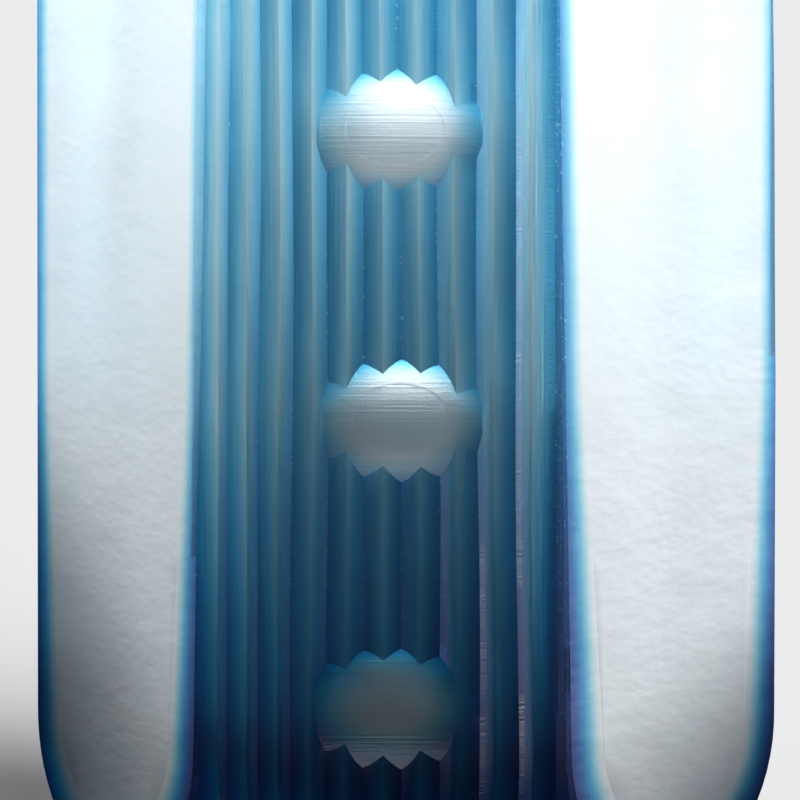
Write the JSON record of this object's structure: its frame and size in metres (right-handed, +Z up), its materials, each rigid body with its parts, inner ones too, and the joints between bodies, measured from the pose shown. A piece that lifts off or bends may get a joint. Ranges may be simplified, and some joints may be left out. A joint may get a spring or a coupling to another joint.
{
  "type": "bud vase",
  "caption": "Round bud vase in thick cased glass, with ground flat panels between fluted bands and ground ovals, and a narrow neck.",
  "frame": {"origin": "middle of the flat ground base", "axes": "+Z up through the mouth; -Y through the middle of one fluted band"},
  "size_m": [0.09, 0.084, 0.18],
  "materials": {
    "clear_glass": "satin ground outside, fire polished inside",
    "blue_glass": "satin, ground by a stone wheel"
  },
  "bodies": {
    "root": {"clear_glass_body": "clear_glass", "blue_glass_overlay": "blue_glass"}
  },
  "joints": []
}
